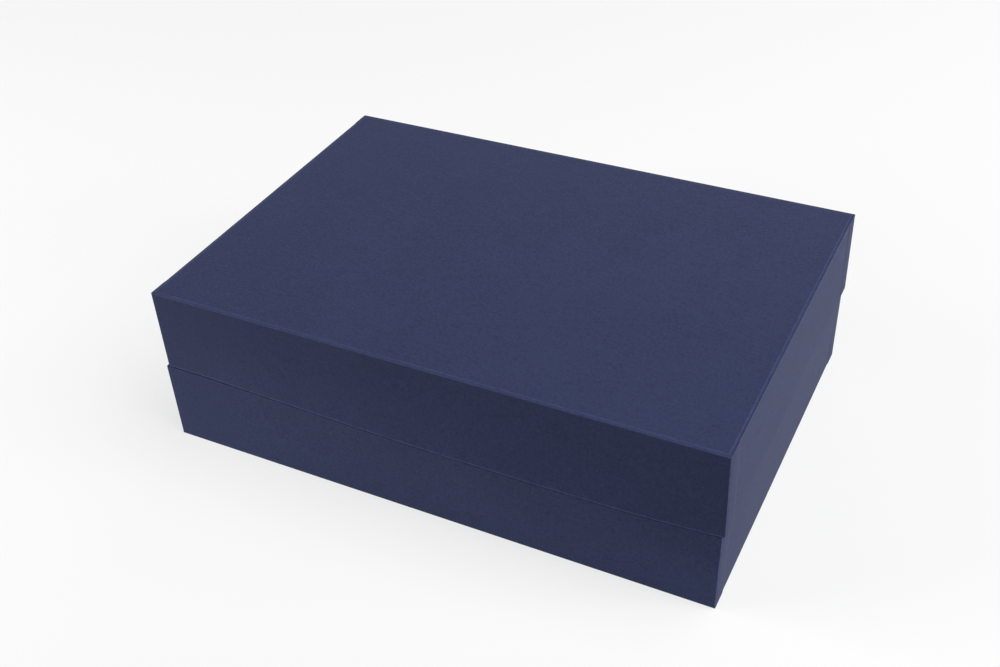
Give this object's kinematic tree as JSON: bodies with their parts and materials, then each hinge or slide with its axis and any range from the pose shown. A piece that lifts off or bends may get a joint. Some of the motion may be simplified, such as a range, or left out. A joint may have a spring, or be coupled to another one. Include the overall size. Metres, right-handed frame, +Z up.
{
  "type": "rigid shoulder box",
  "caption": "Covered hardboard box: a base tray and a lift-off lid of one size meet rim to rim round a hidden lined neck.",
  "frame": {"origin": "centre of the underside of the base, on the surface that the box stands on", "axes": "+X along the long side, towards the side to which the lid has slid; +Y along the short side, towards the back; +Z up, the way the lid lifts"},
  "size_m": [0.3515, 0.24, 0.108],
  "materials": {
    "covering": "matte",
    "neck_paper": "matte",
    "lining_paper": "matte",
    "greyboard": "matte",
    "stay_paper": "matte"
  },
  "bodies": {
    "base": {"bottom_sheet": "covering", "base_wrap": "covering", "base_bottom_board": "greyboard", "base_front_board": "greyboard", "base_back_board": "greyboard", "base_left_board": "greyboard", "base_right_board": "greyboard", "base_stay_front_left": "stay_paper", "base_stay_front_right": "stay_paper", "base_stay_back_left": "stay_paper", "base_stay_back_right": "stay_paper", "neck_floor_board": "greyboard", "neck_front_board": "greyboard", "neck_back_board": "greyboard", "neck_left_board": "greyboard", "neck_right_board": "greyboard", "neck_stay_front_left": "stay_paper", "neck_stay_front_right": "stay_paper", "neck_stay_back_left": "stay_paper", "neck_stay_back_right": "stay_paper", "neck_wrap": "neck_paper", "neck_lining": "lining_paper"},
    "lid": {"lid_top_board": "greyboard", "lid_front_board": "greyboard", "lid_back_board": "greyboard", "lid_left_board": "greyboard", "lid_right_board": "greyboard", "lid_stay_front_left": "stay_paper", "lid_stay_front_right": "stay_paper", "lid_stay_back_left": "stay_paper", "lid_stay_back_right": "stay_paper", "lid_wrap": "covering", "lid_lining": "lining_paper"}
  },
  "joints": [
    {"name": "lid_lift", "type": "slide", "parent": "base", "child": "lid", "axis": [0, 0, 1], "range_m": [0, 0.12]}
  ]
}
